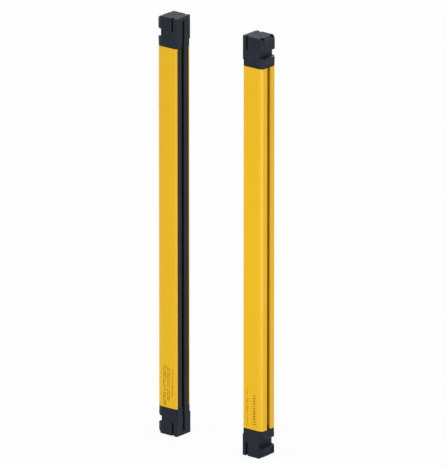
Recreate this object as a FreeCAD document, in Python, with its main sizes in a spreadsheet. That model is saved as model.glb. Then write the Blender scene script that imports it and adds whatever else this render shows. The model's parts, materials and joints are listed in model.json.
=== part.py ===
"""Safety light curtain: an emitter and a receiver that face each other.

Each unit is a painted aluminium extrusion with a T-slot down its back. Its open front is closed by
a dark window held under two trim strips, and a moulded cap is screwed on at each end over a gasket.
Inside, a lens array and a lens holder stand in front of the optics board and the control board.

Millimetres, +Z up. +X runs from the emitter to the receiver, and the origin is the middle of the
pair's base. Each unit is drawn in a frame of its own: x from its middle to its front, y across it,
z up. The receiver is the same frame turned half a turn about Z.
"""
import FreeCAD, Part
import math
import os
import re

import Sketcher

Vector = FreeCAD.Vector
Z_AXIS = Vector(0, 0, 1)

SIZES = {
    # the pair
    "unit_spacing": 140.0,          # middle of the emitter to middle of the receiver
    # beams
    "beam_count": 24,
    "beam_pitch": 20.0,
    "beam_end_margin": 11.5,        # end of the housing to the first beam
    # housing section
    "housing_depth": 31.0,          # front to back
    "housing_width": 28.0,
    "housing_wall": 1.8,
    "front_corner_radius": 2.2,
    "rear_curve_run": 7.6,          # how far ahead of the back the sides start to curve in
    "rear_curve_inset": 2.9,        # how far they have come in at the back
    "front_lip_width": 2.6,
    "front_lip_depth": 1.4,
    "ledge_width": 1.7,             # seat of the window on each wall
    "ledge_thickness": 1.2,
    "slot_mouth": 6.5,              # T-slot in the back
    "slot_lip": 1.8,
    "slot_inner_width": 11.0,
    "slot_inner_depth": 3.6,
    "slot_web": 1.8,
    "screw_setback": 3.2,           # cap screw axis ahead of the back
    "screw_inset": 4.6,             # and inside the sides
    "screw_channel_radius": 1.6,
    # window and trim
    "window_setback": 2.9,          # front of the housing to the window
    "window_thickness": 2.0,
    "trim_recess": 0.3,             # front of the housing to the trim strips
    "groove_width": 5.2,            # open strip of window between the trim strips
    "groove_bevel": 0.5,
    "slip": 0.1,                    # each side of what slides along the extrusion
    # optics and boards
    "fit_gap": 0.3,                 # each side of what drops into place
    "lens_plate_thickness": 1.5,
    "lens_width": 12.0,             # square lenses
    "lens_sag": 1.6,
    "shaft_mouth": 12.8,            # square shafts of the lens holder, at the lens
    "shaft_end": 4.6,               # and at the diode
    "board_thickness": 1.6,
    "board_gap": 2.8,               # between the two boards
    "diode_width": 3.2,
    "diode_height": 1.2,
    "guide_width": 2.6,             # indicator light guides
    "guide_count": 6,
    "control_board_length": 128.0,
    "control_board_start": 8.0,     # above the lower ends of the other inner parts
    "link_length": 16.0,
    "link_width": 7.0,
    # caps, measured from the end of the housing
    "lower_cap_height": 37.0,
    "upper_cap_height": 40.0,
    "gasket_thickness": 0.6,
    "gasket_inset": 0.5,
    "collar_height": 8.5,           # the stretch that follows the housing's corners
    "collar_slope": 1.5,
    "bar_proud": 0.5,               # front bars beyond the housing's front
    "bar_corner_radius": 0.7,
    "back_proud": 1.5,              # back block beyond the housing's back
    "notch_start": 13.2,            # bracket notch across the back
    "notch_height": 9.8,
    "notch_depth": 7.6,
    "lip_land": 3.1,                # flat top of the lip beside the notch
    "lip_proud": 1.3,
    "lip_drop": 3.0,
    "lip_radius": 4.6,
    "lip_foot": 5.0,
    "end_chamfer_run": 5.5,
    "end_chamfer_rise": 4.2,
    "side_slot_setback": 5.2,       # behind the bars' front
    "side_slot_width": 3.2,
    "side_slot_depth": 3.6,
    "side_slot_length": 20.0,
    "side_slot_point": 3.2,
    "cap_groove_width": 4.4,
    "cap_groove_depth": 2.6,
    "cap_groove_border": 4.6,       # solid band between the groove and the end face
    "spigot_length": 3.0,
    "spigot_wall": 1.5,
    "cavity_depth": 11.0,
    "end_step_drop": 2.1,           # lower cap: shorter corner of its end face
    "end_step_run": 5.0,
    "end_step_edge": 1.5,
    "pocket_width": 16.0,           # lower cap: shallow pocket in its back
    "pocket_height": 7.6,
    "pocket_depth": 1.4,
    # cap screws
    "head_radius": 2.5,             # hexagon head, middle to corner
    "head_height": 2.4,
    "head_seat": 3.2,               # below the notch's floor
    "head_access_radius": 2.8,
    "shank_radius": 1.45,
    "shank_hole_radius": 1.8,
    "shank_grip": 9.0,              # length inside the housing
    # plug sockets
    "flange_end_gap": 0.55,         # inside the cap's cavity, front and back
    "flange_side_gap": 1.4,
    "socket_depth": 12.0,
    "flange_rim": 1.5,              # flange beyond the mouth, each side
    "flange_thickness": 2.0,
    "seal_thickness": 0.8,
    "pin_width": 0.8,
    "pin_pitch": 3.0,
    "pin_rows": 2,
    "pins_in_row": 4,
    "pin_reach": 6.0,               # beyond the insert, towards the mouth
    "pin_tail": 4.0,                # beyond the flange, towards the housing
    "cover_thickness": 1.2,
    "cover_plug_depth": 3.0,
    "cover_slit_width": 1.2,
    "cover_slit_length": 7.0,
}

DERIVED = {
    "front": "housing_depth / 2",
    "back": "-housing_depth / 2",
    "side": "housing_width / 2",
    "inner_side": "side - housing_wall",
    "front_lip": "side - front_lip_width",
    "ledge_side": "inner_side - ledge_width",
    "rear_corner": "side - rear_curve_inset",
    "rear_curve_start": "back + rear_curve_run",
    "rear_curve_radius": "(rear_curve_run ^ 2 + rear_curve_inset ^ 2) / (2 * rear_curve_inset)",
    "rear_curve_fall": "rear_curve_run / (rear_curve_radius - rear_curve_inset)",
    "slot_floor": "back + slot_lip + slot_inner_depth",
    "cavity_back": "slot_floor + slot_web",
    "screw_line": "back + screw_setback",
    "screw_span": "housing_width - 2 * screw_inset",
    "trim_front": "front - trim_recess",
    "window_front": "front - window_setback",
    "window_back": "window_front - window_thickness",
    "ledge_back": "window_back - ledge_thickness",
    "housing_length": "(beam_count - 1) * beam_pitch + 2 * beam_end_margin",
    "housing_bottom": "lower_cap_height",
    "housing_top": "lower_cap_height + housing_length",
    "first_beam": "housing_bottom + beam_end_margin",
    "inner_bottom": "housing_bottom + spigot_length + fit_gap",
    "inner_length": "housing_length - 2 * (spigot_length + fit_gap)",
    "lens_front": "window_back - fit_gap",
    "lens_back": "lens_front - lens_plate_thickness",
    "control_back": "cavity_back + fit_gap",
    "control_front": "control_back + board_thickness",
    "optics_back": "control_front + board_gap",
    "optics_front": "optics_back + board_thickness",
    "holder_depth": "lens_back - optics_front",
    "lens_plate_width": "2 * (ledge_side - fit_gap)",
    "board_side": "inner_side - fit_gap",
    "block_back": "back - back_proud",
    "bar_front": "front + bar_proud",
    "notch_wall": "block_back + notch_depth",
    "notch_end": "notch_start + notch_height",
    "spigot_back": "cavity_back + fit_gap",
    "spigot_front": "ledge_back - fit_gap",
    "spigot_side": "inner_side - fit_gap",
    "socket_middle": "(cavity_back + ledge_back) / 2",
    "socket_run": "spigot_front - spigot_back - 2 * (spigot_wall + flange_end_gap + flange_rim)",
    "socket_span": "2 * (spigot_side - spigot_wall - flange_side_gap - flange_rim)",
    "flange_foot": "cavity_depth - seal_thickness - flange_thickness",
}

UNITS = {"emitter": (-1, 0.0), "receiver": (1, 180.0)}      # side of the middle, turn about Z
ENDS = {"upper": 1, "lower": -1}                            # way from the housing to the end face
BEYOND = 1.0                                                # how far a cut runs past a face

document = FreeCAD.newDocument("SafetyLightCurtain")


# ---------------------------------------------------------------- sizes and formulas

def make_sheet():
    """Driving dimensions: a name, a plain number and its alias on each row."""
    sheet = document.addObject("Spreadsheet::Sheet", "Sizes")
    for row, (name, value) in enumerate(SIZES.items(), start=1):
        sheet.set(f"A{row}", name)
        sheet.set(f"B{row}", str(value))
        sheet.setAlias(f"B{row}", name)
    document.recompute()
    return sheet


def formula(text):
    """Spell out the derived sizes in a formula and point every size at its cell."""
    def spell(match):
        word = match.group(0)
        if word in DERIVED:
            return "(" + formula(DERIVED[word]) + ")"
        return "Sizes." + word if word in SIZES else word
    return re.sub(r"[a-z][a-z_]*", spell, str(text))


def number(text):
    """The present value of a formula."""
    return float(sizes.evalExpression(formula(text)))


def along(end, distance):
    """Height of a point at a distance from the housing's end, towards the end face of its cap."""
    if ENDS[end] > 0:
        return f"housing_top + ({distance})"
    return f"housing_bottom - ({distance})"


# ---------------------------------------------------------------- bodies, sketches and features

def new_body(unit, part):
    """An empty body of one unit, standing where the unit stands."""
    way, turn = UNITS[unit]
    body = document.addObject("PartDesign::Body", f"{unit}_{part}")
    body.Label = f"{unit}_{part}"
    body.Placement = FreeCAD.Placement(Vector(), FreeCAD.Rotation(Z_AXIS, turn))
    body.setExpression("Placement.Base.x", formula(f"{way} * unit_spacing / 2"))
    return body


def origin_feature(body, role):
    """A plane or an axis of the body's own origin."""
    return next(item for item in body.Origin.OriginFeatures if item.Role == role)


def new_sketch(body, plane, at="0", right="0", up="0"):
    """A sketch on one of the body's origin planes, moved along the third axis and within the plane."""
    sketch = body.newObject("Sketcher::SketchObject", f"{body.Name}_sketch")
    sketch.AttachmentSupport = [(origin_feature(body, plane + "_Plane"), "")]
    sketch.MapMode = "FlatFace"
    way = -1 if plane == "XZ" else 1        # the XZ plane looks along -Y
    for axis, place in (("x", right), ("y", up), ("z", f"{way} * ({at})")):
        sketch.setExpression(f"AttachmentOffset.Base.{axis}", formula(place))
    return sketch


def hold(sketch, kind, *target):
    """A constraint of a sketch that follows a formula; the formula is the last argument."""
    text = target[-1]
    index = sketch.addConstraint(Sketcher.Constraint(kind, *target[:-1], number(text)))
    sketch.setExpression(f"Constraints[{index}]", formula(text))


def arc_between(start, finish, radius, turn):
    """The short arc from start to finish; turn is 1 for anticlockwise and -1 for clockwise."""
    chord = finish - start
    rise = math.sqrt(radius ** 2 - (chord.Length / 2) ** 2)
    left = Vector(-chord.y, chord.x, 0).normalize()
    centre = (start + finish) / 2 + left * rise * turn
    first, last = (start, finish) if turn > 0 else (finish, start)
    angles = [math.atan2(point.y - centre.y, point.x - centre.x) for point in (first, last)]
    return Part.ArcOfCircle(Part.Circle(centre, Vector(0, 0, 1), radius), *angles)


def draw_loop(sketch, corners):
    """A closed outline. A corner is (x, y), or (x, y, radius, turn) where an arc leads on from it."""
    points = [Vector(number(corner[0]), number(corner[1]), 0) for corner in corners]
    edges = []
    for index, corner in enumerate(corners):
        start, finish = points[index], points[(index + 1) % len(points)]
        if len(corner) == 2:
            edges.append((sketch.addGeometry(Part.LineSegment(start, finish), False), 1, 2))
            continue
        radius, turn = corner[2:]
        edge = sketch.addGeometry(arc_between(start, finish, number(radius), turn), False)
        edges.append((edge, 1, 2) if turn > 0 else (edge, 2, 1))
    for index, corner in enumerate(corners):
        before, edge = edges[index - 1], edges[index]
        sketch.addConstraint(Sketcher.Constraint("Coincident", before[0], before[2], edge[0], edge[1]))
        hold(sketch, "DistanceX", -1, 1, edge[0], edge[1], corner[0])
        hold(sketch, "DistanceY", -1, 1, edge[0], edge[1], corner[1])
        if len(corner) > 2:
            hold(sketch, "Radius", edge[0], corner[2])


def draw_circle(sketch, x, y, radius):
    """A full circle about a point."""
    centre = Vector(number(x), number(y), 0)
    edge = sketch.addGeometry(Part.Circle(centre, Vector(0, 0, 1), number(radius)), False)
    hold(sketch, "DistanceX", -1, 1, edge, 3, x)
    hold(sketch, "DistanceY", -1, 1, edge, 3, y)
    hold(sketch, "Radius", edge, radius)


def rectangle(low_x, high_x, low_y, high_y):
    """Corners of a rectangle, anticlockwise."""
    return [(low_x, low_y), (high_x, low_y), (high_x, high_y), (low_x, high_y)]


def centred(middle_x, middle_y, run, span):
    """Corners of a rectangle about its middle."""
    return rectangle(f"{middle_x} - ({run}) / 2", f"{middle_x} + ({run}) / 2",
                     f"{middle_y} - ({span}) / 2", f"{middle_y} + ({span}) / 2")


def mirrored(corners):
    """The same outline on the other side of the unit."""
    return [(x, f"-({y})", *arc[:1], *[-turn for turn in arc[1:]]) for x, y, *arc in corners]


def draw_both_sides(sketch, corners):
    """One outline on each side of the unit."""
    draw_loop(sketch, corners)
    draw_loop(sketch, mirrored(corners))


def extrude(body, kind, sketch, length, reverse=False, symmetric=False):
    """A pad or a pocket of a sketch; a length of None cuts through everything."""
    feature = body.newObject("PartDesign::" + kind, f"{body.Name}_{kind.lower()}")
    feature.Profile = sketch
    feature.SideType = "Symmetric" if symmetric else "One side"
    feature.Reversed = reverse
    if length is None:
        feature.Type = "ThroughAll"
    else:
        feature.setExpression("Length", formula(length))
    return feature


def pad(body, sketch, length, **options):
    return extrude(body, "Pad", sketch, length, **options)


def pocket(body, sketch, length, **options):
    return extrude(body, "Pocket", sketch, length, **options)


def repeat_up(body, features, pitch, count):
    """Copies of some features at a regular pitch up the body."""
    pattern = body.newObject("PartDesign::LinearPattern", f"{body.Name}_row")
    pattern.Originals = features
    pattern.Direction = (origin_feature(body, "Z_Axis"), [""])
    pattern.Mode = "Spacing"
    pattern.setExpression("Offset", formula(pitch))
    pattern.setExpression("Occurrences", formula(count))
    body.Tip = pattern
    return pattern


def mirror_across(body, features):
    """The same features on the other side of the unit."""
    copy = body.newObject("PartDesign::Mirrored", f"{body.Name}_mirror")
    copy.Originals = features
    copy.MirrorPlane = (origin_feature(body, "XZ_Plane"), [""])
    body.Tip = copy
    return copy


def bar_body(unit, part, corners, bottom, length):
    """A piece of constant section that stands upright."""
    body = new_body(unit, part)
    sketch = new_sketch(body, "XY", bottom)
    draw_loop(sketch, corners)
    pad(body, sketch, length)
    return body


# ---------------------------------------------------------------- housing, window and trim

def outer_outline(inset="0"):
    """Outer section of the housing without its slot and its front opening, drawn inwards by inset."""
    near, far = f"rear_curve_radius - {inset}", f"rear_curve_run - {inset}"
    corner = f"side - rear_curve_radius + sqrt(({near}) ^ 2 - ({far}) ^ 2)"
    round_front = f"front_corner_radius - {inset}"
    return [
        (f"front - {inset}", "front_corner_radius - side"),
        (f"front - {inset}", "side - front_corner_radius", round_front, 1),
        ("front - front_corner_radius", f"side - {inset}"),
        ("rear_curve_start", f"side - {inset}", near, 1),
        (f"back + {inset}", corner),
        (f"back + {inset}", f"-({corner})", near, 1),
        ("rear_curve_start", f"{inset} - side"),
        ("front - front_corner_radius", f"{inset} - side", round_front, 1),
    ]


def housing_half():
    """Half of the housing's section, from the front lip's tip round to the T-slot's floor."""
    return [
        ("front", "front_lip"),
        ("front", "side - front_corner_radius", "front_corner_radius", 1),
        ("front - front_corner_radius", "side"),
        ("rear_curve_start", "side", "rear_curve_radius", 1),
        ("back", "rear_corner"),
        ("back", "slot_mouth / 2"),
        ("back + slot_lip", "slot_mouth / 2"),
        ("back + slot_lip", "slot_inner_width / 2"),
        ("slot_floor", "slot_inner_width / 2"),
    ]


def housing_hollow_half():
    """The other face of the same wall, from the middle of the hollow's back out to the front lip."""
    return [
        ("cavity_back", "inner_side"),
        ("ledge_back", "inner_side"),
        ("ledge_back", "ledge_side"),
        ("window_back", "ledge_side"),
        ("window_back", "inner_side"),
        ("front - front_lip_depth", "inner_side"),
        ("front - front_lip_depth", "front_lip"),
    ]


def across(half):
    """The mirror image of a half outline, in the order that carries the outline on."""
    flipped = []
    for index in range(len(half) - 1, -1, -1):
        x, y = half[index][:2]
        arc = half[index - 1][2:] if index > 0 else ()      # the arc that led here now leads away
        flipped.append((x, f"-({y})", *arc))
    return flipped


def make_housing(unit):
    """Extrusion with a T-slot, a window seat on each wall and a channel for each cap screw."""
    body = new_body(unit, "housing")
    sketch = new_sketch(body, "XY", "housing_bottom")
    outside, inside = housing_half(), housing_hollow_half()
    draw_loop(sketch, outside + across(outside) + across(inside) + inside)
    for way in (1, -1):
        draw_circle(sketch, "screw_line", f"{way} * screw_span / 2", "screw_channel_radius")
    pad(body, sketch, "housing_length")


def make_window(unit):
    section = rectangle("window_back", "window_front", "slip - inner_side", "inner_side - slip")
    bar_body(unit, "front_window", section, "housing_bottom", "housing_length")


def make_trim_strip(unit, part, way):
    """Strip that clamps one edge of the window and hooks behind the housing's front lip."""
    groove, lip, wall = "groove_width / 2", "front_lip - slip", "inner_side - slip"
    hook = "front - front_lip_depth - slip"
    section = [
        ("window_front", groove), ("trim_front - groove_bevel", groove),
        ("trim_front", f"{groove} + groove_bevel"), ("trim_front", lip),
        (hook, lip), (hook, wall), ("window_front", wall),
    ]
    corners = [(x, f"{way} * ({y})") for x, y in section]
    bar_body(unit, part, corners, "housing_bottom", "housing_length")


# ---------------------------------------------------------------- optics and boards

def make_lens_array(unit):
    """One clear strip with a square pillow lens for each beam on its inner face."""
    section = rectangle("lens_back", "lens_front", "-lens_plate_width / 2", "lens_plate_width / 2")
    body = bar_body(unit, "lens_array", section, "inner_bottom", "inner_length")
    low, high, peak = "-lens_width / 2", "lens_width / 2", "lens_back - lens_sag"
    curve = "((lens_width / 2) ^ 2 + lens_sag ^ 2) / (2 * lens_sag)"
    arch = new_sketch(body, "XZ", up="first_beam")
    draw_loop(arch, [("lens_back", low, curve, -1), (peak, "0", curve, -1), ("lens_back", high)])
    swell = pad(body, arch, "lens_width", symmetric=True)
    sides = new_sketch(body, "XY", "first_beam")
    draw_loop(sides, [("lens_back", high, curve, 1), (peak, "0", curve, 1), ("lens_back", low),
                      ("lens_back", f"{low} - {BEYOND}"), (f"{peak} - {BEYOND}", f"{low} - {BEYOND}"),
                      (f"{peak} - {BEYOND}", f"{high} + {BEYOND}"), ("lens_back", f"{high} + {BEYOND}")])
    rounding = pocket(body, sides, "lens_width", symmetric=True)
    repeat_up(body, [swell, rounding], "beam_pitch", "beam_count")


def make_lens_holder(unit):
    """Black block with a tapered shaft behind each lens and a small hole for each light guide."""
    section = rectangle("optics_front", "lens_back", "-board_side", "board_side")
    body = bar_body(unit, "lens_holder", section, "inner_bottom", "inner_length")
    mouth, end = "shaft_mouth / 2", "shaft_end / 2"
    side_view = new_sketch(body, "XZ", up="first_beam")
    draw_loop(side_view, [("lens_back", f"-{mouth}"), ("lens_back", mouth),
                          ("optics_front", end), ("optics_front", f"-{end}")])
    shaft = pocket(body, side_view, "shaft_mouth", symmetric=True)
    plan = new_sketch(body, "XY", "first_beam")
    draw_both_sides(plan, [("lens_back", mouth), ("optics_front", end), ("optics_front", mouth)])
    wedges = pad(body, plan, "shaft_mouth", symmetric=True)
    repeat_up(body, [shaft, wedges], "beam_pitch", "beam_count")
    hole = new_sketch(body, "YZ", "lens_back")
    draw_loop(hole, centred("0", "first_beam + beam_pitch / 2", "guide_width + 2 * slip",
                            "guide_width + 2 * slip"))
    cut = pocket(body, hole, "holder_depth")
    repeat_up(body, [cut], "beam_pitch", "guide_count")


def make_optics_board(unit):
    section = rectangle("optics_back", "optics_front", "-board_side", "board_side")
    bar_body(unit, "optics_board", section, "inner_bottom", "inner_length")


def make_diodes(unit, part):
    """One infrared diode for each beam, on the front of the optics board."""
    body = new_body(unit, part)
    sketch = new_sketch(body, "YZ", "optics_front")
    draw_loop(sketch, centred("0", "first_beam", "diode_width", "diode_width"))
    chip = pad(body, sketch, "diode_height")
    repeat_up(body, [chip], "beam_pitch", "beam_count")


def make_light_guides(unit):
    """Clear posts that carry the indicator lights from the optics board to the lens array."""
    body = new_body(unit, "light_guides")
    sketch = new_sketch(body, "YZ", "optics_front")
    draw_loop(sketch, centred("0", "first_beam + beam_pitch / 2", "guide_width", "guide_width"))
    post = pad(body, sketch, "holder_depth")
    repeat_up(body, [post], "beam_pitch", "guide_count")


def make_control_board(unit):
    section = rectangle("control_back", "control_front", "-board_side", "board_side")
    start = "inner_bottom + control_board_start"
    bar_body(unit, "control_board", section, start, "control_board_length")


def make_board_link(unit):
    """Plug that joins the two boards."""
    section = rectangle("control_front", "optics_back", "-link_length / 2", "link_length / 2")
    start = "inner_bottom + control_board_start + (control_board_length - link_width) / 2"
    bar_body(unit, "board_link", section, start, "link_width")


# ---------------------------------------------------------------- caps and gaskets

def cap_side_view(end):
    """Outline of a cap seen from its side, with the bracket notch and the lip behind it."""
    height = f"{end}_cap_height"
    land_end = "notch_wall - lip_land"
    points = [
        ("front", "gasket_thickness"),
        ("front", "collar_height - collar_slope"),
        ("bar_front", "collar_height"),
        ("bar_front", height),
        ("block_back + end_chamfer_run", height),
        ("block_back", f"{height} - end_chamfer_rise"),
        ("block_back", "notch_end"),
        ("notch_wall", "notch_end"),
        ("notch_wall", "notch_start"),
        (land_end, "notch_start", "lip_radius", ENDS[end]),
        ("back - lip_proud", "notch_start - lip_drop"),
        ("back", "lip_foot"),
        ("back", "gasket_thickness"),
    ]
    return [(x, along(end, distance), *arc) for x, distance, *arc in points]


def front_offcut(x, radius):
    """What a round front corner takes off a square one."""
    return [(f"{x} - {radius}", "side", radius, -1), (x, f"side - {radius}"),
            (f"{x} + {BEYOND}", f"side - {radius}"), (f"{x} + {BEYOND}", f"side + {BEYOND}"),
            (f"{x} - {radius}", f"side + {BEYOND}")]


def rear_offcut():
    """What the housing's rear curve, carried on straight behind the housing, takes off a cap."""
    reach = f"back_proud + {BEYOND}"
    return [("rear_curve_start", "side", "rear_curve_radius", 1), ("back", "rear_corner"),
            (f"back - ({reach})", f"rear_corner - ({reach}) * rear_curve_fall"),
            (f"back - ({reach})", f"side + {BEYOND}"), ("rear_curve_start", f"side + {BEYOND}")]


def make_cap(unit, end):
    """Moulded end cap: collar, bracket notch, back block, front bars and the passage for its socket."""
    height = f"{end}_cap_height"
    inwards = ENDS[end] < 0         # the way a cut must be turned to run from the end face inwards
    body = new_body(unit, f"{end}_cap")

    profile = new_sketch(body, "XZ")
    draw_loop(profile, cap_side_view(end))
    pad(body, profile, "housing_width", symmetric=True)

    spigot = new_sketch(body, "XY", along(end, "gasket_thickness"))
    draw_loop(spigot, rectangle("spigot_back", "spigot_front", "-spigot_side", "spigot_side"))
    pad(body, spigot, "gasket_thickness + spigot_length", reverse=not inwards)

    rear = new_sketch(body, "XY")
    draw_both_sides(rear, rear_offcut())
    pocket(body, rear, None, symmetric=True)

    collar = new_sketch(body, "XY", along(end, "collar_height"))
    draw_both_sides(collar, front_offcut("front", "front_corner_radius"))
    pocket(body, collar, f"collar_height + {BEYOND}", reverse=inwards)

    bars = new_sketch(body, "XY")
    draw_both_sides(bars, front_offcut("bar_front", "bar_corner_radius"))
    pocket(body, bars, None, symmetric=True)

    slot = new_sketch(body, "XZ", "-side")
    slot_front = "bar_front - side_slot_setback"
    slot_back = f"{slot_front} - side_slot_width"
    foot = f"{height} - side_slot_length"
    draw_loop(slot, [(x, along(end, distance)) for x, distance in [
        (slot_front, f"{height} + {BEYOND}"), (slot_front, f"{foot} + side_slot_point"),
        (slot_back, foot), (slot_back, f"{height} + {BEYOND}")]])
    side_slot = pocket(body, slot, "side_slot_depth")
    mirror_across(body, [side_slot])

    groove = new_sketch(body, "YZ", "bar_front")
    draw_loop(groove, [(y, along(end, distance)) for y, distance in rectangle(
        "-cap_groove_width / 2", "cap_groove_width / 2", f"-{BEYOND}", f"{height} - cap_groove_border")])
    pocket(body, groove, "cap_groove_depth + bar_proud")

    cavity = new_sketch(body, "XY", along(end, "-spigot_length"))
    draw_loop(cavity, rectangle("spigot_back + spigot_wall", "spigot_front - spigot_wall",
                                "spigot_wall - spigot_side", "spigot_side - spigot_wall"))
    pocket(body, cavity, "spigot_length + cavity_depth", reverse=not inwards)

    passage = new_sketch(body, "XY")
    draw_loop(passage, centred("socket_middle", "0", "socket_run", "socket_span"))
    pocket(body, passage, None, symmetric=True)

    access = new_sketch(body, "XY", along(end, height))
    shank = new_sketch(body, "XY")
    for way in (1, -1):
        draw_circle(access, "screw_line", f"{way} * screw_span / 2", "head_access_radius")
        draw_circle(shank, "screw_line", f"{way} * screw_span / 2", "shank_hole_radius")
    pocket(body, access, f"{height} - notch_start + head_seat", reverse=inwards)
    pocket(body, shank, None, symmetric=True)

    finish_end = finish_upper_cap if end == "upper" else finish_lower_cap
    finish_end(body)


def finish_upper_cap(body):
    """Recess in the end face for the series socket's cover."""
    recess = new_sketch(body, "XY", along("upper", "upper_cap_height"))
    draw_loop(recess, centred("socket_middle", "0", "socket_run + 2 * flange_rim + 2 * fit_gap",
                              "socket_span + 2 * flange_rim + 2 * fit_gap"))
    pocket(body, recess, "cover_thickness")


def finish_lower_cap(body):
    """Shallow pocket in the back block and the shorter corner of the end face."""
    hollow = new_sketch(body, "YZ", "block_back")
    middle = along("lower", "(notch_end + lower_cap_height - end_chamfer_rise) / 2")
    draw_loop(hollow, centred("0", middle, "pocket_width", "pocket_height"))
    pocket(body, hollow, "pocket_depth", reverse=True)
    step = new_sketch(body, "XY", along("lower", "lower_cap_height"))
    draw_loop(step, rectangle(f"block_back - {BEYOND}", "block_back + end_step_run",
                              f"-side - {BEYOND}", "-end_step_edge"))
    pocket(body, step, "end_step_drop", reverse=True)


def make_gaskets(unit):
    """Flat gaskets between the housing and its caps, open for each cap's spigot and screws."""
    body = new_body(unit, "cap_gaskets")
    for end in ENDS:
        sketch = new_sketch(body, "XY", along(end, "0"))
        draw_loop(sketch, outer_outline("gasket_inset"))
        draw_loop(sketch, rectangle("spigot_back - fit_gap", "spigot_front + fit_gap",
                                    "-spigot_side - fit_gap", "spigot_side + fit_gap"))
        draw_both_sides(sketch, centred("screw_line", "screw_span / 2",
                                        "2 * shank_hole_radius", "2 * shank_hole_radius"))
        pad(body, sketch, "gasket_thickness", reverse=ENDS[end] < 0)


def make_cap_screws(unit):
    """The screws that hold the caps, two at each end, with their heads on the seats in the notches."""
    body = new_body(unit, "cap_screws")
    seat = "notch_start - head_seat"
    screws = []
    for end in ENDS:
        shank = new_sketch(body, "XY", along(end, seat))
        draw_circle(shank, "screw_line", "screw_span / 2", "shank_radius")
        screws.append(pad(body, shank, f"{seat} + shank_grip", reverse=ENDS[end] > 0))
        head = new_sketch(body, "XY", along(end, seat))
        draw_loop(head, [(f"screw_line + {math.cos(angle)} * head_radius",
                          f"screw_span / 2 + {math.sin(angle)} * head_radius")
                         for angle in [math.radians(60 * corner) for corner in range(6)]])
        screws.append(pad(body, head, "head_height", reverse=ENDS[end] < 0))
    mirror_across(body, screws)


# ---------------------------------------------------------------- plug sockets in the caps

def pin_squares():
    """The section of every pin of a socket."""
    squares = []
    for row in range(int(number("pin_rows"))):
        for place in range(int(number("pins_in_row"))):
            squares.append(centred(f"socket_middle + ({row} - (pin_rows - 1) / 2) * pin_pitch",
                                   f"({place} - (pins_in_row - 1) / 2) * pin_pitch",
                                   "pin_width", "pin_width"))
    return squares


def make_connector(unit, end, part):
    """Insert that closes the socket: a flange inside the cap, a nose up to the mouth, and its pins."""
    body = new_body(unit, part)
    inwards = ENDS[end] < 0
    flange = new_sketch(body, "XY", along(end, "flange_foot"))
    draw_loop(flange, centred("socket_middle", "0", "socket_run + 2 * flange_rim",
                              "socket_span + 2 * flange_rim"))
    pad(body, flange, "flange_thickness", reverse=inwards)
    nose = new_sketch(body, "XY", along(end, "flange_foot"))
    draw_loop(nose, centred("socket_middle", "0", "socket_run - 2 * slip", "socket_span - 2 * slip"))
    pad(body, nose, f"{end}_cap_height - socket_depth - flange_foot", reverse=inwards)
    holes = new_sketch(body, "XY")
    for square in pin_squares():
        draw_loop(holes, square)
    pocket(body, holes, None, symmetric=True)


def make_connector_pins(unit, end, part):
    body = new_body(unit, part)
    sketch = new_sketch(body, "XY", along(end, "flange_foot - pin_tail"))
    for square in pin_squares():
        draw_loop(sketch, square)
    length = f"{end}_cap_height - socket_depth + pin_reach - flange_foot + pin_tail"
    pad(body, sketch, length, reverse=ENDS[end] < 0)


def make_connector_seal(unit, end, part):
    """Flat seal between the insert's flange and the floor of the cap's cavity."""
    body = new_body(unit, part)
    sketch = new_sketch(body, "XY", along(end, "cavity_depth - seal_thickness"))
    draw_loop(sketch, centred("socket_middle", "0", "socket_run + 2 * flange_rim",
                              "socket_span + 2 * flange_rim"))
    draw_loop(sketch, centred("socket_middle", "0", "socket_run", "socket_span"))
    pad(body, sketch, "seal_thickness", reverse=ENDS[end] < 0)


def make_series_cover(unit):
    """Cover of the series socket, flush with the upper end face, with a slit to lift it by."""
    body = new_body(unit, "series_cover")
    foot = new_sketch(body, "XY", along("upper", "upper_cap_height - cover_thickness"))
    draw_loop(foot, centred("socket_middle", "0", "socket_run + 2 * flange_rim",
                            "socket_span + 2 * flange_rim"))
    pad(body, foot, "cover_thickness")
    plug = new_sketch(body, "XY", along("upper", "upper_cap_height - cover_thickness"))
    draw_loop(plug, centred("socket_middle", "0", "socket_run - 2 * slip", "socket_span - 2 * slip"))
    pad(body, plug, "cover_plug_depth", reverse=True)
    slit = new_sketch(body, "XY", along("upper", "upper_cap_height"))
    draw_loop(slit, centred("socket_middle", "0", "cover_slit_width", "cover_slit_length"))
    pocket(body, slit, "cover_thickness / 2")


# ---------------------------------------------------------------- the pair

def make_unit(unit):
    """Every piece of one unit."""
    make_housing(unit)
    make_window(unit)
    make_trim_strip(unit, "left_trim_strip", 1)
    make_trim_strip(unit, "right_trim_strip", -1)
    make_lens_array(unit)
    make_lens_holder(unit)
    make_optics_board(unit)
    make_diodes(unit, "infrared_diodes" if unit == "emitter" else "photodiodes")
    make_light_guides(unit)
    make_control_board(unit)
    make_board_link(unit)
    for end in ENDS:
        make_cap(unit, end)
    make_gaskets(unit)
    make_cap_screws(unit)
    for end, part in (("lower", "cable_socket"), ("upper", "series_socket")):
        make_connector(unit, end, f"{part}_insert")
        make_connector_pins(unit, end, f"{part}_pins")
        make_connector_seal(unit, end, f"{part}_seal")
    make_series_cover(unit)


def check_model():
    """Stop on a failed object, a cut that cuts nothing or a piece that isn't sound."""
    for item in document.Objects:
        if {"Invalid", "Error"} & set(item.State):
            raise RuntimeError(f"{item.Label} failed: {item.State}")
        if item.TypeId == "PartDesign::Pocket" and item.Shape.Volume >= item.BaseFeature.Shape.Volume:
            raise RuntimeError(f"{item.Label} cuts nothing")
        if item.TypeId == "PartDesign::Body" and (item.Shape.isNull() or not item.Shape.isValid()):
            raise RuntimeError(f"{item.Label} has no sound shape")


def export_parts():
    """Each piece to a file that bears its name."""
    os.makedirs("parts", exist_ok=True)
    for item in document.Objects:
        if item.TypeId == "PartDesign::Body":
            item.Shape.exportStep(f"parts/{item.Label}.step")


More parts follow.
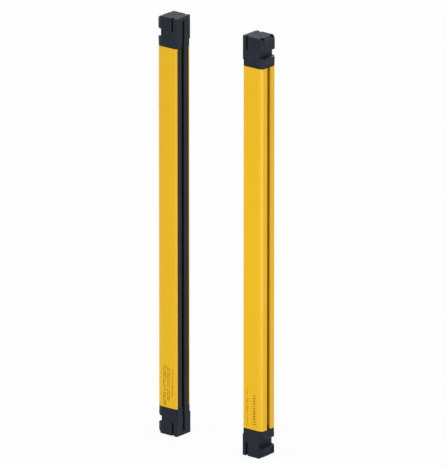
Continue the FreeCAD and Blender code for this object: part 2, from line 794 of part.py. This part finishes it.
sizes = make_sheet()
for unit_name in UNITS:
    make_unit(unit_name)
document.recompute()
check_model()
export_parts()
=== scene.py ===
"""Looks of a safety light curtain: two upright yellow bars with black moulded end caps.

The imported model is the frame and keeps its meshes. This script gives each solid its finish, prints
columns of plain dashes low on the sides, and sets up the floor, the lights and the camera.
Metres, +Z up, the origin under the middle of the pair.
"""
import json
import math

import bpy
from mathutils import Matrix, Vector


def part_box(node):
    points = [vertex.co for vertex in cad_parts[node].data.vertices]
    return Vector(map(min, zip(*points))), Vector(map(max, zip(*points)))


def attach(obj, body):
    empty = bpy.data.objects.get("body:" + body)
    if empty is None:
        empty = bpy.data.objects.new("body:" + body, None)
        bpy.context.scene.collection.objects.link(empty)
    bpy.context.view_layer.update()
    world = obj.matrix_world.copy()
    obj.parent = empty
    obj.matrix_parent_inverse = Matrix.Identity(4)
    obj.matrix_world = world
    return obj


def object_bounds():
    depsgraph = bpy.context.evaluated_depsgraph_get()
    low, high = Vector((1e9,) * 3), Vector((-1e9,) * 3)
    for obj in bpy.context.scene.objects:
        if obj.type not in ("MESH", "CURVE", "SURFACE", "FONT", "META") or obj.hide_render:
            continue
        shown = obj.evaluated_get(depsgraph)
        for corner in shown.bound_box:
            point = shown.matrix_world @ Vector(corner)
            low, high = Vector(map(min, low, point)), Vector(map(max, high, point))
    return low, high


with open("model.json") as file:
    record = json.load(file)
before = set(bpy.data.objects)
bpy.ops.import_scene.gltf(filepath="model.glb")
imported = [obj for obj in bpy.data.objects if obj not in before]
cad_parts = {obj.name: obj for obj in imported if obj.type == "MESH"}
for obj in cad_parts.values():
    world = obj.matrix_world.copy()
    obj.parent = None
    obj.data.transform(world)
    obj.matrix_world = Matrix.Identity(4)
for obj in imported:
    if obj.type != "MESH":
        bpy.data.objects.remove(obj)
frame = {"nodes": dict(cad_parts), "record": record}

CAD_LOW, CAD_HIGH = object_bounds()
MILLIMETRE = 0.001


# ---------------------------------------------------------------- camera

VIEW_AZIMUTH = 39.02            # round from the front of the pair, degrees
VIEW_ELEVATION = 17.99
VIEW_DISTANCE = 14.255
AIM_AZIMUTH = 38.982            # the way the camera itself is turned, so the pair sits off centre
AIM_ELEVATION = 17.9785
SENSOR_WIDTH = 36.0
FOCAL_PER_WIDTH = 25.04         # focal length over the width of the image
NEAR_CLIP, FAR_CLIP = 1.0, 60.0


def backwards(azimuth, elevation):
    """Unit vector from the object to a camera at these angles."""
    turn, rise = math.radians(azimuth), math.radians(elevation)
    level = math.cos(rise)
    return Vector((math.sin(turn) * level, -math.cos(turn) * level, math.sin(rise)))


def add_camera():
    """Long lens with no shift, aimed level with the middle of the pair."""
    lens = bpy.data.cameras.new("camera")
    lens.sensor_fit = "HORIZONTAL"
    lens.sensor_width = SENSOR_WIDTH
    lens.lens = SENSOR_WIDTH * FOCAL_PER_WIDTH
    lens.clip_start, lens.clip_end = NEAR_CLIP, FAR_CLIP
    camera = bpy.data.objects.new("camera", lens)
    bpy.context.scene.collection.objects.link(camera)
    middle = (CAD_LOW + CAD_HIGH) / 2
    camera.location = middle + backwards(VIEW_AZIMUTH, VIEW_ELEVATION) * VIEW_DISTANCE
    camera.rotation_mode = "QUATERNION"
    camera.rotation_quaternion = backwards(AIM_AZIMUTH, AIM_ELEVATION).to_track_quat("Z", "Y")
    bpy.context.scene.camera = camera


# ---------------------------------------------------------------- nodes

class Signal:
    """A node's output that takes part in arithmetic; each operation adds its Math node."""

    def __init__(self, wiring, socket):
        self.wiring, self.socket = wiring, socket

    def math(self, operation, first, second=0.0):
        return self.wiring.add("ShaderNodeMath", {"operation": operation}, {0: first, 1: second})

    def __add__(self, other):
        return self.math("ADD", self, other)

    def __radd__(self, other):
        return self.math("ADD", other, self)

    def __sub__(self, other):
        return self.math("SUBTRACT", self, other)

    def __rsub__(self, other):
        return self.math("SUBTRACT", other, self)

    def __mul__(self, other):
        return self.math("MULTIPLY", self, other)

    def __rmul__(self, other):
        return self.math("MULTIPLY", other, self)

    def clamped(self):
        return self.wiring.add("ShaderNodeClamp", {}, {"Value": self})

    def between(self, low, high):
        """A smooth rise from 0 at low to 1 at high."""
        return self.wiring.add("ShaderNodeMapRange", {"interpolation_type": "SMOOTHSTEP"},
                               {"Value": self, "From Min": low, "From Max": high})


class Wiring:
    """A node tree being built up node by node."""

    def __init__(self, tree):
        self.tree = tree
        self.tree.nodes.clear()

    def add(self, kind, settings=None, sockets=None, output=0):
        """A node of this type; its settings are made first, then its sockets filled or linked."""
        made = self.tree.nodes.new(kind)
        for name, value in (settings or {}).items():
            setattr(made, name, value)
        for key, value in (sockets or {}).items():
            if isinstance(value, Signal):
                self.tree.links.new(value.socket, made.inputs[key])
            elif isinstance(value, (tuple, list)) and len(value) == 3 and len(
                    made.inputs[key].default_value) == 4:
                made.inputs[key].default_value = (*value, 1)
            else:
                made.inputs[key].default_value = value
        return Signal(self, made.outputs[output]) if made.outputs else None

    def backdrop_rays(self):
        """1 for rays that show the backdrop: straight to the camera, mirrored or through glass."""
        seen = self.add("ShaderNodeLightPath", output="Is Camera Ray")
        mirrored = self.add("ShaderNodeLightPath", output="Is Glossy Ray")
        through = self.add("ShaderNodeLightPath", output="Is Transmission Ray")
        return (seen + mirrored + through).clamped()


class Finish(Wiring):
    """A material being built up."""

    def __init__(self, name):
        self.material = bpy.data.materials.new(name)
        self.material.use_nodes = True
        super().__init__(self.material.node_tree)
        self.place = self.add("ShaderNodeTexCoord", output="Object")

    def noise(self, size, detail=2.0, place=None):
        """Cloudy noise from 0 to 1 whose features are about this size, in metres."""
        return self.add("ShaderNodeTexNoise", {},
                        {"Vector": place or self.place, "Scale": 1 / size, "Detail": detail})

    def stretched(self, x, y, z):
        """Object coordinates with each axis scaled."""
        return self.add("ShaderNodeVectorMath", {"operation": "MULTIPLY"},
                        {0: self.place, 1: (x, y, z)})

    def blend(self, factor, first, second):
        """Colour mix; 6, 7 and output 2 are the Mix node's colour sockets."""
        return self.add("ShaderNodeMix", {"data_type": "RGBA"},
                        {0: factor, 6: first, 7: second}, output=2)

    def relief(self, height, depth, normal=None):
        """Bump of this depth in metres."""
        sockets = {"Height": height, "Distance": depth, "Strength": 1.0}
        if normal:
            sockets["Normal"] = normal
        return self.add("ShaderNodeBump", {}, sockets)

    def rounded(self, radius):
        """Surface normal with the edges softened over this radius."""
        return self.add("ShaderNodeBevel", {"samples": 6}, {"Radius": radius})

    def occlusion_shade(self, reach):
        """0 in the open, rising towards 1 deep inside slots and corners, where it lays painted
        shade.
        """
        openness = self.add("ShaderNodeAmbientOcclusion", {"samples": 8}, {"Distance": reach},
                            output="AO")
        return 1.0 - openness

    def corner_highlight_mask(self, soft_normal):
        """0 on the flat sides, rising to 1 on the upright corners between them, where it lays a
        painted highlight.
        """
        across = self.add("ShaderNodeSeparateXYZ", {}, {0: soft_normal}, output="X")
        along = self.add("ShaderNodeSeparateXYZ", {}, {0: soft_normal}, output="Y")
        both = across * along
        return both.math("ABSOLUTE", both).between(0.15, 0.5)

    def edge_mask(self, soft_normal):
        """0 on flat faces, rising to 1 on the edges that the soft normal rounds."""
        true_normal = self.add("ShaderNodeNewGeometry", output="True Normal")
        facing = self.add("ShaderNodeVectorMath", {"operation": "DOT_PRODUCT"},
                          {0: soft_normal, 1: true_normal}, output="Value")
        return (1.0 - facing).between(0.01, 0.12)

    def surface(self, colour, roughness, normal, metallic=0.0, coat=0.0, gloss=0.5):
        """Principled surface joined to the output; gloss is its specular level."""
        shader = self.add("ShaderNodeBsdfPrincipled", {}, {
            "Base Color": colour, "Roughness": roughness, "Normal": normal, "Metallic": metallic,
            "Coat Weight": coat, "Specular IOR Level": gloss})
        self.add("ShaderNodeOutputMaterial", {}, {"Surface": shader})
        return self.material


# ---------------------------------------------------------------- finishes

YELLOW = (0.79, 0.462, 0.006)
YELLOW_DEEP = (0.76, 0.425, 0.005)
YELLOW_PAINTED_HIGHLIGHT = (0.93, 0.56, 0.065)     # painted highlight on the rounded upright corners, in place of the light they catch
SLOT_PAINTED_SHADE = (0.13, 0.040, 0.001)       # painted shade deep in the slot, where little light gets in
SLOT_SHADE_REACH = 5 * MILLIMETRE             # how near the slot walls have to stand for the painted shade to darken the paint
INK = (0.17, 0.085, 0.001)
CAP_BLACK = (0.0095, 0.0145, 0.0225)
CAP_RUBBED = (0.060, 0.070, 0.084)
TRIM_DARK, TRIM_DUSTY = (0.014, 0.0125, 0.013), (0.021, 0.019, 0.018)
WINDOW_DARK, WINDOW_HAZY = (0.0035, 0.0022, 0.0050), (0.0055, 0.0040, 0.0075)


def powder_coat():
    """Satin yellow paint with a fine orange peel, a faint drift of tone, a painted corner highlight
    and painted slot shade.
    """
    finish = Finish("yellow powder coat")
    drift = finish.noise(0.09, detail=3.0, place=finish.stretched(1, 1, 0.25))
    specks = finish.noise(0.0009, detail=1.0)
    paint = finish.blend(drift.between(0.3, 0.7) * 0.6 + specks.between(0.55, 0.75) * 0.25,
                         YELLOW, YELLOW_DEEP)
    soft = finish.rounded(1.2 * MILLIMETRE)
    # Painted highlight: the upright rounded corners are blended halfway towards a lighter yellow.
    paint = finish.blend(finish.corner_highlight_mask(soft) * 0.5, paint, YELLOW_PAINTED_HIGHLIGHT)
    # Painted shade: deep in the slot the paint is darkened towards brown, where shade falls.
    painted_slot_shade = finish.occlusion_shade(SLOT_SHADE_REACH).between(0.35, 0.70)
    colour = finish.blend(painted_slot_shade * 0.9, paint, SLOT_PAINTED_SHADE)
    roughness = 0.34 + finish.noise(0.012, detail=4.0) * 0.12
    peel = finish.relief(finish.noise(0.0016, detail=2.0), 0.012 * MILLIMETRE,
                         finish.rounded(0.35 * MILLIMETRE))
    return finish.surface(colour, roughness, peel, coat=0.15, gloss=0.12)


def moulded_black(name, colour, rubbed, base_roughness, gloss):
    """Moulded plastic: spark-eroded texture, faint flow marks and edges rubbed a little lighter."""
    finish = Finish(name)
    soft = finish.rounded(0.45 * MILLIMETRE)
    edges = finish.edge_mask(soft)
    flow = finish.noise(0.011, detail=3.0, place=finish.stretched(1, 1, 0.5))
    grain = finish.noise(0.00045, detail=2.0)
    wear = edges * finish.noise(0.003, detail=3.0).between(0.3, 0.75)
    colour = finish.blend((wear * 0.75 + flow.between(0.45, 0.8) * 0.12).clamped(), colour, rubbed)
    roughness = base_roughness + flow * 0.10 - wear * 0.12
    normal = finish.relief(grain, 0.010 * MILLIMETRE, soft)
    return finish.surface(colour, roughness, normal, gloss=gloss)


def cap_plastic():
    return moulded_black("cap plastic", CAP_BLACK, CAP_RUBBED, base_roughness=0.42, gloss=0.14)


def trim_plastic():
    """Extruded strip: faint drawing lines that run its whole length."""
    finish = Finish("trim plastic")
    soft = finish.rounded(0.25 * MILLIMETRE)
    lines = finish.noise(0.0007, detail=2.0, place=finish.stretched(1, 1, 0.004))
    dust = finish.noise(0.02, detail=4.0, place=finish.stretched(1, 1, 0.3))
    colour = finish.blend(dust.between(0.4, 0.8) * 0.5, TRIM_DARK, TRIM_DUSTY)
    normal = finish.relief(lines, 0.006 * MILLIMETRE, soft)
    return finish.surface(colour, 0.36 + lines * 0.14, normal, gloss=0.15)


def window_plastic():
    """Polished dark sheet with a breath of dust and hardly any relief."""
    finish = Finish("window plastic")
    haze = finish.noise(0.03, detail=4.0, place=finish.stretched(1, 1, 0.2))
    colour = finish.blend(haze, WINDOW_DARK, WINDOW_HAZY)
    ripple = finish.relief(finish.noise(0.02, detail=1.0), 0.01 * MILLIMETRE)
    return finish.surface(colour, 0.08 + haze * 0.10, ripple, gloss=0.5)


def soft_rubber():
    return moulded_black("gasket rubber", (0.006, 0.006, 0.006), (0.012, 0.012, 0.012),
                         base_roughness=0.7, gloss=0.2)


def holder_plastic():
    return moulded_black("lens holder plastic", (0.010, 0.010, 0.010), (0.02, 0.02, 0.02),
                         base_roughness=0.6, gloss=0.3)


def socket_plastic():
    return moulded_black("socket plastic", (0.016, 0.016, 0.017), (0.03, 0.03, 0.03),
                         base_roughness=0.42, gloss=0.4)


def brushed_metal(name, light, dark, roughness):
    """Turned or drawn metal with fine lines along the piece."""
    finish = Finish(name)
    lines = finish.noise(0.0004, detail=2.0, place=finish.stretched(1, 1, 0.05))
    patches = finish.noise(0.004, detail=3.0)
    colour = finish.blend(patches, dark, light)
    normal = finish.relief(lines, 0.003 * MILLIMETRE, finish.rounded(0.15 * MILLIMETRE))
    return finish.surface(colour, roughness + lines * 0.15, normal, metallic=1.0)


def screw_steel():
    return brushed_metal("zinc plated steel", (0.62, 0.62, 0.60), (0.42, 0.42, 0.42),
                         roughness=0.28)


def pin_brass():
    return brushed_metal("gold plated pins", (0.90, 0.66, 0.28), (0.74, 0.50, 0.18),
                         roughness=0.18)


def clear_plastic():
    """Optical plastic, smooth, with a hint of blue."""
    finish = Finish("clear lens plastic")
    tint = finish.noise(0.01, detail=2.0)
    colour = finish.blend(tint, (0.55, 0.62, 0.68), (0.68, 0.74, 0.78))
    ripple = finish.relief(finish.noise(0.004), 0.003 * MILLIMETRE)
    return finish.surface(colour, 0.05 + tint * 0.06, ripple, coat=0.3)


def circuit_board():
    """Green solder mask over a faint weave, with lighter copper runs below it."""
    finish = Finish("circuit board")
    weave = finish.noise(0.0008, detail=1.0)
    runs = finish.noise(0.0035, detail=0.0, place=finish.stretched(1, 3, 0.3)).between(0.50, 0.54)
    colour = finish.blend(runs * 0.7, (0.006, 0.060, 0.024), (0.016, 0.130, 0.050))
    normal = finish.relief(runs + weave * 0.3, 0.03 * MILLIMETRE)
    return finish.surface(colour, 0.3 + weave * 0.2, normal, coat=0.2)


def diode_plastic():
    return moulded_black("diode plastic", (0.030, 0.018, 0.040), (0.06, 0.05, 0.08),
                         base_roughness=0.15, gloss=0.5)


def print_ink():
    """Dark ochre ink, slightly broken up where it took thinly."""
    finish = Finish("printed ink")
    thin = finish.noise(0.0007, detail=2.0)
    colour = finish.blend(thin.between(0.45, 0.8) * 0.5, INK, YELLOW_DEEP)
    normal = finish.relief(thin, 0.004 * MILLIMETRE)
    return finish.surface(colour, 0.4 + thin * 0.2, normal, gloss=0.15)


FINISHES = {
    "yellow_paint": powder_coat, "cap_plastic": cap_plastic, "window_plastic": window_plastic,
    "trim_plastic": trim_plastic, "gasket_rubber": soft_rubber, "screw_steel": screw_steel,
    "lens_plastic": clear_plastic, "holder_plastic": holder_plastic, "circuit_board": circuit_board,
    "diode_plastic": diode_plastic, "socket_plastic": socket_plastic, "pin_brass": pin_brass,
}


def dress_solids():
    """Give every solid the finish of its material slot."""
    made = {slot: build() for slot, build in FINISHES.items()}
    for part in frame["record"]["subparts"]:
        materials = frame["nodes"][part["node"]].data.materials
        materials.clear()
        materials.append(made[part["material_slot"]])


# ---------------------------------------------------------------- printed dashes

INK_THICKNESS = 0.01 * MILLIMETRE       # half of it stands out of the paint
SHORTEST_DASH = 0.45                    # as a share of the full height of a dash

# One entry for each set of dashes. Lengths are in millimetres: the set's width and height, the
# width and height of a dash, and where the set's middle lies, across from the middle of the side
# and above the lower end of the housing. kept is the share of its dashes that is printed.
PRINT = {
    "emitter": {
        "fine_dashes": dict(columns=2, rows=34, width=2.4, height=54.0, dash=(1.5, 1.3),
                            kept=0.80, across=-4.2, above=29.5, seed=3),
        "broken_dashes": dict(columns=2, rows=30, width=2.6, height=44.0, dash=(1.5, 1.3),
                              kept=0.70, across=2.0, above=33.0, seed=4),
        "rule": dict(columns=1, rows=26, width=0.0, height=36.0, dash=(1.0, 1.4),
                     kept=0.95, across=8.6, above=35.0, seed=5)},
    "receiver": {
        "rule": dict(columns=1, rows=28, width=0.0, height=48.0, dash=(1.3, 1.5),
                     kept=0.80, across=-8.4, above=29.0, seed=6),
        "wide_dashes": dict(columns=1, rows=12, width=0.0, height=38.0, dash=(4.2, 1.6),
                            kept=1.00, across=3.2, above=27.0, seed=11)},
}


def dashes_tree():
    """Geometry nodes: upright columns of thin dashes, some cut short and some left out."""
    tree = bpy.data.node_groups.new("printed dashes", "GeometryNodeTree")
    tree.interface.new_socket("Geometry", in_out="OUTPUT", socket_type="NodeSocketGeometry")
    for name, kind in (("Columns", "Int"), ("Rows", "Int"), ("Column Span", "Float"),
                       ("Row Span", "Float"), ("Dash", "Vector"), ("Kept", "Float"),
                       ("Middle", "Vector"), ("Seed", "Int"), ("Ink", "Material")):
        tree.interface.new_socket(name, in_out="INPUT", socket_type="NodeSocket" + kind)
    add = Wiring(tree).add

    def given(name):
        return add("NodeGroupInput", output=name)

    grid = add("GeometryNodeMeshGrid", {}, {
        "Size X": given("Column Span"), "Size Y": given("Row Span"),
        "Vertices X": given("Columns"), "Vertices Y": given("Rows")})
    points = add("GeometryNodeMeshToPoints", {}, {"Mesh": grid})
    kept = add("FunctionNodeRandomValue", {"data_type": "BOOLEAN"},
               {"Probability": given("Kept"), "Seed": given("Seed")}, output=3)
    draw = add("FunctionNodeRandomValue", {"data_type": "FLOAT"}, {"Seed": given("Seed")}, output=1)
    height = add("ShaderNodeMapRange", {},
                 {"Value": draw, "To Min": SHORTEST_DASH, "To Max": 1.0})
    scale = add("ShaderNodeCombineXYZ", {}, {"X": 1.0, "Y": 1.0, "Z": height})
    dash = add("GeometryNodeMeshCube", {}, {"Size": given("Dash")})
    upright = add("GeometryNodeTransform", {}, {
        "Geometry": points, "Rotation": (math.pi / 2, 0, 0), "Translation": given("Middle")})
    dashes = add("GeometryNodeInstanceOnPoints", {}, {
        "Points": upright, "Selection": kept, "Instance": dash, "Scale": scale})
    real = add("GeometryNodeRealizeInstances", {}, {"Geometry": dashes})
    inked = add("GeometryNodeSetMaterial", {}, {"Geometry": real, "Material": given("Ink")})
    add("NodeGroupOutput", {}, {"Geometry": inked})
    return tree


def print_set(tree, name, ink, **sizes):
    """One set of dashes as a plain mesh piece on the side of a housing."""
    piece = bpy.data.objects.new(name, bpy.data.meshes.new(name))
    bpy.context.scene.collection.objects.link(piece)
    modifier = piece.modifiers.new("dashes", "NODES")
    modifier.node_group = tree
    values = {**{key.replace("_", " "): value for key, value in sizes.items()}, "Ink": ink}
    for item in tree.interface.items_tree:
        if item.in_out == "INPUT":
            modifier[item.identifier] = values[item.name]
    graph = bpy.context.evaluated_depsgraph_get()
    mesh = bpy.data.meshes.new_from_object(piece.evaluated_get(graph), depsgraph=graph)
    piece.modifiers.clear()
    piece.data = mesh
    mesh.name = name
    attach(piece, "root")


def print_sides():
    """Columns of plain dashes low on the near side of each unit."""
    tree, ink = dashes_tree(), print_ink()
    for unit, sets in PRINT.items():
        low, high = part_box(unit + "_housing")
        foot = Vector(((low.x + high.x) / 2, low.y, low.z))
        for name, marks in sets.items():
            dash_width, dash_height = marks["dash"]
            print_set(tree, f"{unit}_print_{name}", ink,
                      Columns=marks["columns"], Rows=marks["rows"],
                      Column_Span=marks["width"] * MILLIMETRE,
                      Row_Span=marks["height"] * MILLIMETRE,
                      Dash=(dash_width * MILLIMETRE, INK_THICKNESS, dash_height * MILLIMETRE),
                      Kept=marks["kept"], Seed=marks["seed"],
                      Middle=foot + Vector((marks["across"], 0, marks["above"])) * MILLIMETRE)


# ---------------------------------------------------------------- floor, backdrop and light

FLOOR_REACH = 40.0              # from the middle to each side, far past the pair
FLOOR_PAPER = (0.94, 0.94, 0.94)
WHITE = (1, 1, 1)
BACKDROP_SHARE = 0.92           # how much of the floor shows as plain white
WORLD_LIGHT = 0.5               # the surroundings as a light; to the camera they are white


def add_floor():
    """White floor that still takes the pair's shadow."""
    mesh = bpy.data.meshes.new("floor")
    corners = [(x * FLOOR_REACH, y * FLOOR_REACH, 0)
               for x, y in ((-1, -1), (1, -1), (1, 1), (-1, 1))]
    mesh.from_pydata(corners, [], [(0, 1, 2, 3)])
    floor = bpy.data.objects.new("floor", mesh)
    bpy.context.scene.collection.objects.link(floor)
    finish = Finish("studio floor")
    paper = finish.add("ShaderNodeBsdfDiffuse", {}, {"Color": FLOOR_PAPER})
    glow = finish.add("ShaderNodeEmission", {}, {"Color": WHITE, "Strength": 1.0})
    share = finish.backdrop_rays() * BACKDROP_SHARE
    both = finish.add("ShaderNodeMixShader", {}, {0: share, 1: paper, 2: glow})
    finish.add("ShaderNodeOutputMaterial", {}, {"Surface": both})
    mesh.materials.append(finish.material)


def add_sun(name, azimuth, elevation, spread, level):
    """Sun with a wide disc; at level 1 a white sheet that faces it renders white."""
    light = bpy.data.lights.new(name, "SUN")
    light.angle = math.radians(spread)
    light.energy = level * math.pi
    place_light(light, Vector(), azimuth, elevation)


def add_strip_lamp(name, azimuth, distance, width, height, power):
    """Narrow upright lamp that stands on the floor near the pair."""
    light = bpy.data.lights.new(name, "AREA")
    light.shape = "RECTANGLE"
    light.size, light.size_y = width, height
    light.energy = power
    place_light(light, backwards(azimuth, 0) * distance + Vector((0, 0, height / 2)), azimuth,
                elevation=0)


def place_light(light, location, azimuth, elevation):
    """Put a light in the scene, shining from these angles."""
    lamp = bpy.data.objects.new(light.name, light)
    bpy.context.scene.collection.objects.link(lamp)
    lamp.location = location
    lamp.rotation_mode = "QUATERNION"
    lamp.rotation_quaternion = backwards(azimuth, elevation).to_track_quat("Z", "Y")
    lamp.visible_camera = False


def add_world():
    """Surroundings that look white, also in reflections, and that light the pair less brightly."""
    world = bpy.data.worlds.new("studio")
    bpy.context.scene.world = world
    world.use_nodes = True
    sky = Wiring(world.node_tree)
    light = sky.add("ShaderNodeBackground", {}, {"Color": WHITE, "Strength": WORLD_LIGHT})
    backdrop = sky.add("ShaderNodeBackground", {}, {"Color": WHITE, "Strength": 1.0})
    both = sky.add("ShaderNodeMixShader", {}, {0: sky.backdrop_rays(), 1: light, 2: backdrop})
    sky.add("ShaderNodeOutputWorld", {}, {"Surface": both})


add_camera()
add_floor()
add_world()
add_sun("key", azimuth=-22, elevation=40, spread=30, level=0.22)
add_sun("fill", azimuth=118, elevation=32, spread=40, level=0.24)
add_sun("back", azimuth=200, elevation=35, spread=40, level=0.16)
add_strip_lamp("strip", azimuth=34, distance=0.66, width=0.22, height=0.70, power=1.4)
dress_solids()
print_sides()
bpy.context.scene.view_settings.view_transform = "Standard"
